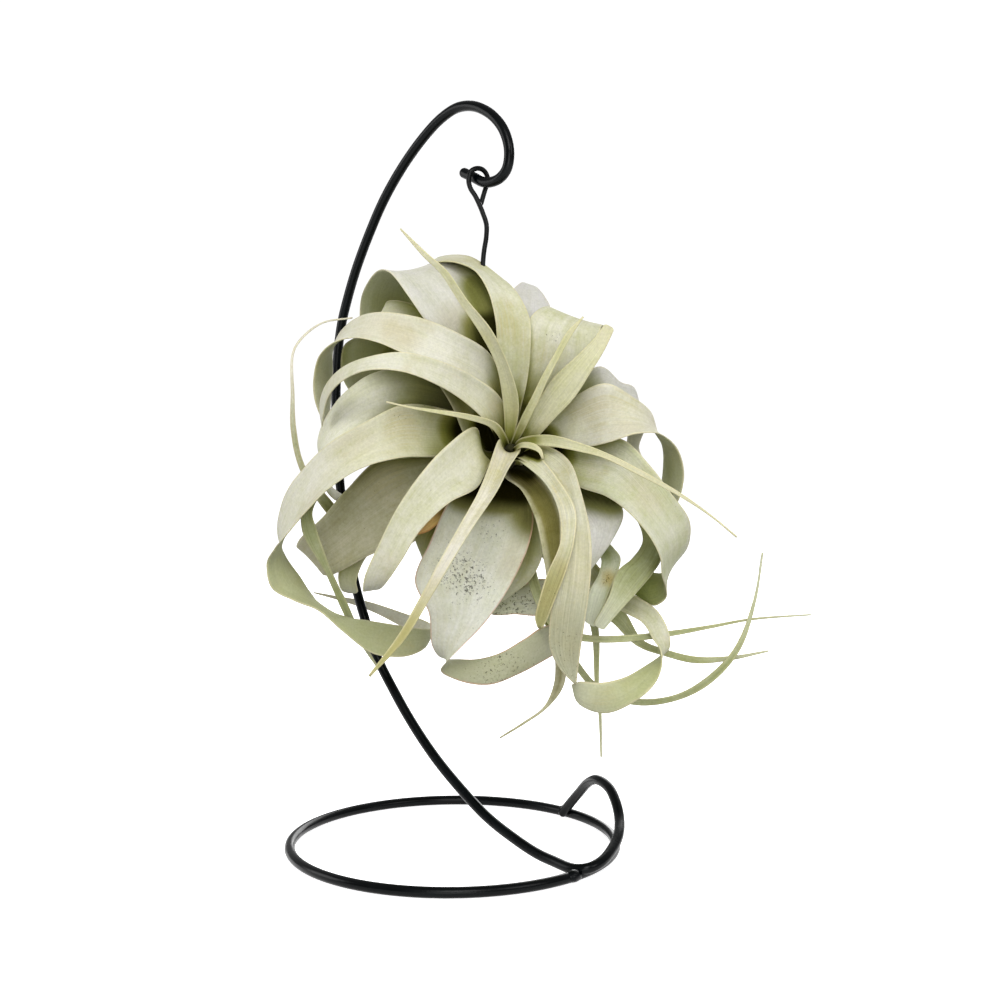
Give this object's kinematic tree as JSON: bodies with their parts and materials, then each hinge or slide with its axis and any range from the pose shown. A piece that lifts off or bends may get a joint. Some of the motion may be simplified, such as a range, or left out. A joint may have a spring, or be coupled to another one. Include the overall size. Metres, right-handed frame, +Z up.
{
  "type": "hanging air plant",
  "caption": "Air plant with broad curling silvery leaves, hung by a thin wire from a bent-wire stand on a round base ring.",
  "frame": {"origin": "centre of the bounding box on the table, at the underside of the base ring", "axes": "+Z up, -Y towards the viewer of the plant's front, +X to that viewer's right"},
  "size_m": [0.2204, 0.1382, 0.3046],
  "materials": {
    "stand": "satin",
    "hanger": "satin",
    "stem": "matte",
    "leaf": "matte",
    "dried_leaf": "matte"
  },
  "bodies": {
    "root": {"base_ring": "stand", "stand_wire": "stand", "hanger_wire": "hanger", "plant_stem": "stem", "leaf_spear_down": "leaf", "leaf_small_curl": "leaf", "leaf_spear_thin_up": "leaf", "leaf_spear_left": "leaf", "leaf_thin_left": "leaf", "leaf_spear_right": "leaf", "leaf_spear_broad_up": "leaf", "leaf_front_short": "leaf", "leaf_front_hanging": "leaf", "leaf_front_left": "leaf", "leaf_top": "leaf", "leaf_left_narrow": "leaf", "leaf_upper_left": "leaf", "leaf_top_right": "leaf", "leaf_right_broad": "leaf", "leaf_inner_olive": "leaf", "leaf_upper_left_back": "leaf", "leaf_folded_left": "leaf", "leaf_left_broad": "leaf", "leaf_left_large": "leaf", "leaf_dried_tip": "dried_leaf", "leaf_bottom_broad": "leaf", "leaf_right_lower": "leaf", "leaf_lower_left": "leaf", "leaf_olive_left": "leaf", "leaf_bottom_inner": "leaf", "leaf_left_curled_tip": "leaf", "leaf_lower_left_inner": "leaf", "leaf_top_back": "leaf", "leaf_right_back": "leaf", "leaf_right_pale": "leaf", "leaf_right_green": "leaf", "leaf_right_band": "leaf", "leaf_left_tip": "leaf", "leaf_ring_curl": "leaf", "leaf_tip_straight": "leaf", "leaf_bottom_back": "leaf", "leaf_tip_vertical": "leaf", "leaf_tip_curved": "leaf", "leaf_tip_rising": "leaf", "leaf_back_top": "leaf", "leaf_back_upper_right": "leaf", "leaf_back_upper_left": "leaf", "leaf_back_lower_left": "leaf", "leaf_back_lower": "leaf", "leaf_back_right": "leaf"}
  },
  "joints": []
}
